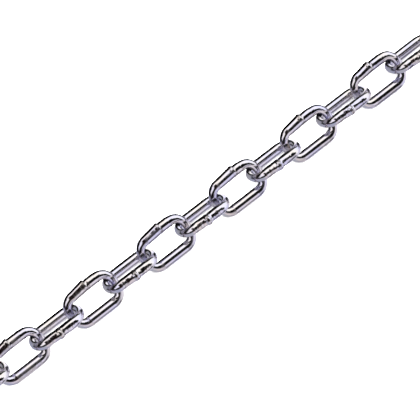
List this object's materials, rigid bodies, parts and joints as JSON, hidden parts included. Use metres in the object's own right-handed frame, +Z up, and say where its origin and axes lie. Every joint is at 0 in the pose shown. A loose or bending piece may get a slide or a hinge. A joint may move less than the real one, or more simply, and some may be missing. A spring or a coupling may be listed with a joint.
{
  "type": "short-link steel chain",
  "caption": "Straight cut length of welded short-link steel chain, bright zinc plated, its oval links leaning left and right by turns and free to swing on each other.",
  "frame": {"origin": "on the floor, under the middle of the run", "axes": "+X along the run, +Y across it, +Z up from the floor that every link stands on"},
  "size_m": [0.3212, 0.0198, 0.019],
  "materials": {
    "zinc_plated_steel": "bright zinc plate on drawn steel wire, smooth and shiny, with a darker rough weld on one side of each link"
  },
  "bodies": {
    "link_01": {"link_01": "zinc_plated_steel"},
    "link_02": {"link_02": "zinc_plated_steel"},
    "link_03": {"link_03": "zinc_plated_steel"},
    "link_04": {"link_04": "zinc_plated_steel"},
    "link_05": {"link_05": "zinc_plated_steel"},
    "link_06": {"link_06": "zinc_plated_steel"},
    "link_07": {"link_07": "zinc_plated_steel"},
    "link_08": {"link_08": "zinc_plated_steel"},
    "link_09": {"link_09": "zinc_plated_steel"},
    "link_10": {"link_10": "zinc_plated_steel"},
    "link_11": {"link_11": "zinc_plated_steel"},
    "link_12": {"link_12": "zinc_plated_steel"},
    "link_13": {"link_13": "zinc_plated_steel"}
  },
  "joints": [
    {"name": "swing_07_08", "type": "hinge", "parent": "link_07", "child": "link_08", "pos_m": [0.0144, 0, 0.00912], "axis": [0, -0.7071, 0.7071], "range_deg": [-70, 70]},
    {"name": "swing_08_09", "type": "hinge", "parent": "link_08", "child": "link_09", "pos_m": [0.0384, 0, 0.00912], "axis": [0, 0.7071, 0.7071], "range_deg": [-70, 70]},
    {"name": "swing_09_10", "type": "hinge", "parent": "link_09", "child": "link_10", "pos_m": [0.0624, 0, 0.00912], "axis": [0, -0.7071, 0.7071], "range_deg": [-70, 70]},
    {"name": "swing_10_11", "type": "hinge", "parent": "link_10", "child": "link_11", "pos_m": [0.0864, 0, 0.00912], "axis": [0, 0.7071, 0.7071], "range_deg": [-70, 70]},
    {"name": "swing_11_12", "type": "hinge", "parent": "link_11", "child": "link_12", "pos_m": [0.1104, 0, 0.00912], "axis": [0, -0.7071, 0.7071], "range_deg": [-70, 70]},
    {"name": "swing_12_13", "type": "hinge", "parent": "link_12", "child": "link_13", "pos_m": [0.1344, 0, 0.00912], "axis": [0, 0.7071, 0.7071], "range_deg": [-70, 70]},
    {"name": "swing_07_06", "type": "hinge", "parent": "link_07", "child": "link_06", "pos_m": [-0.0144, 0, 0.00912], "axis": [0, -0.7071, 0.7071], "range_deg": [-70, 70]},
    {"name": "swing_06_05", "type": "hinge", "parent": "link_06", "child": "link_05", "pos_m": [-0.0384, 0, 0.00912], "axis": [0, 0.7071, 0.7071], "range_deg": [-70, 70]},
    {"name": "swing_05_04", "type": "hinge", "parent": "link_05", "child": "link_04", "pos_m": [-0.0624, 0, 0.00912], "axis": [0, -0.7071, 0.7071], "range_deg": [-70, 70]},
    {"name": "swing_04_03", "type": "hinge", "parent": "link_04", "child": "link_03", "pos_m": [-0.0864, 0, 0.00912], "axis": [0, 0.7071, 0.7071], "range_deg": [-70, 70]},
    {"name": "swing_03_02", "type": "hinge", "parent": "link_03", "child": "link_02", "pos_m": [-0.1104, 0, 0.00912], "axis": [0, -0.7071, 0.7071], "range_deg": [-70, 70]},
    {"name": "swing_02_01", "type": "hinge", "parent": "link_02", "child": "link_01", "pos_m": [-0.1344, 0, 0.00912], "axis": [0, 0.7071, 0.7071], "range_deg": [-70, 70]}
  ]
}
